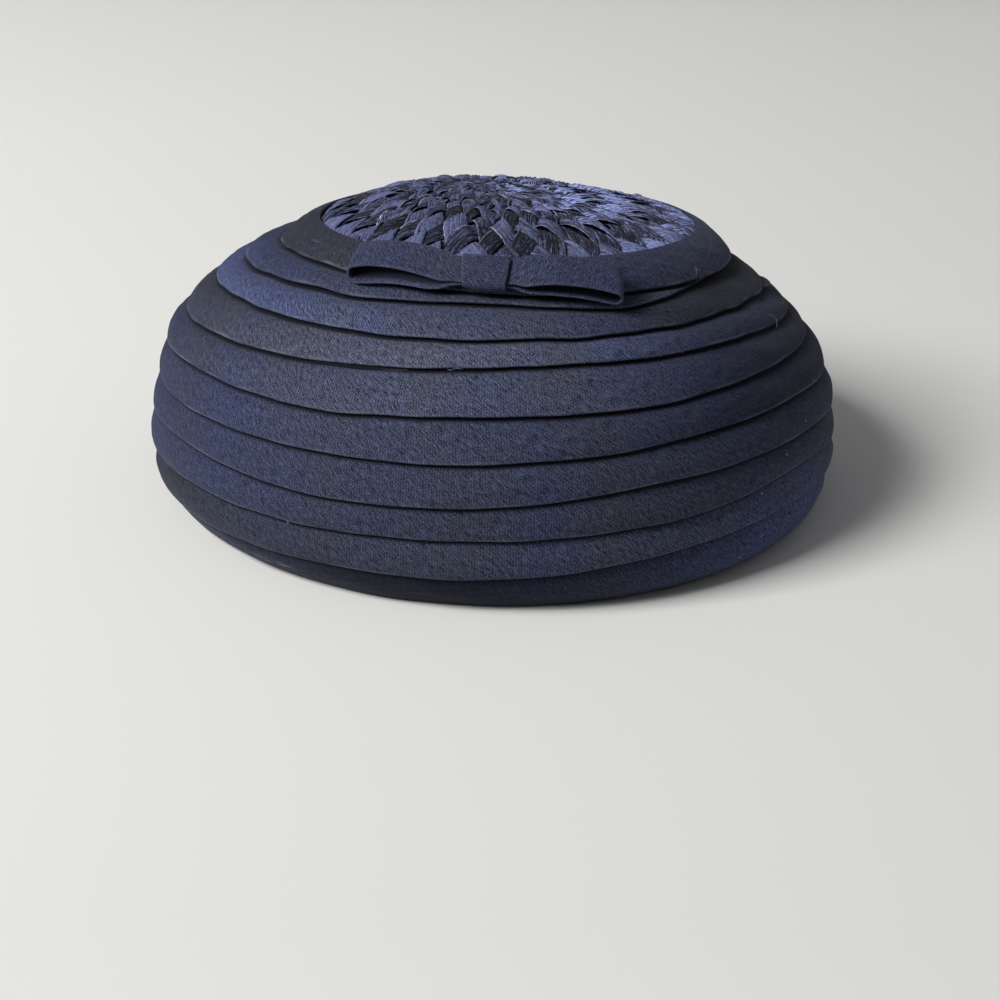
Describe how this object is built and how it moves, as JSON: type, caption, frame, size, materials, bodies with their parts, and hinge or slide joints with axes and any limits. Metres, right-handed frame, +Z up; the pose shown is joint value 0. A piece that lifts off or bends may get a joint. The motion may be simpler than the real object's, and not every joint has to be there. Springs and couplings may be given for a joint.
{
  "type": "pillbox hat",
  "caption": "Round pillbox hat with full sides of overlapping folded cloth bands, a woven crown and a flat bow at the front.",
  "frame": {"origin": "middle of the hem opening, in the plane that the hem stands on", "axes": "+Z up through the crown, the bow at the front towards -Y, +X to the right of someone looking at the bow"},
  "size_m": [0.26, 0.2602, 0.1114],
  "materials": {
    "navy_cloth": "matt bias-cut cloth with a soft sheen",
    "ink_navy_cloth": "matt bias-cut cloth, a little faded",
    "crown_weave": "satiny woven fibre strips"
  },
  "bodies": {
    "root": {"top_band": "ink_navy_cloth", "band_2": "navy_cloth", "band_3": "ink_navy_cloth", "band_4": "navy_cloth", "band_5": "ink_navy_cloth", "band_6": "navy_cloth", "band_7": "ink_navy_cloth", "band_8": "navy_cloth", "band_9": "ink_navy_cloth", "hem_band": "navy_cloth", "woven_crown": "crown_weave", "bow_left_loop": "navy_cloth", "bow_right_loop": "navy_cloth", "bow_knot": "ink_navy_cloth"}
  },
  "joints": []
}
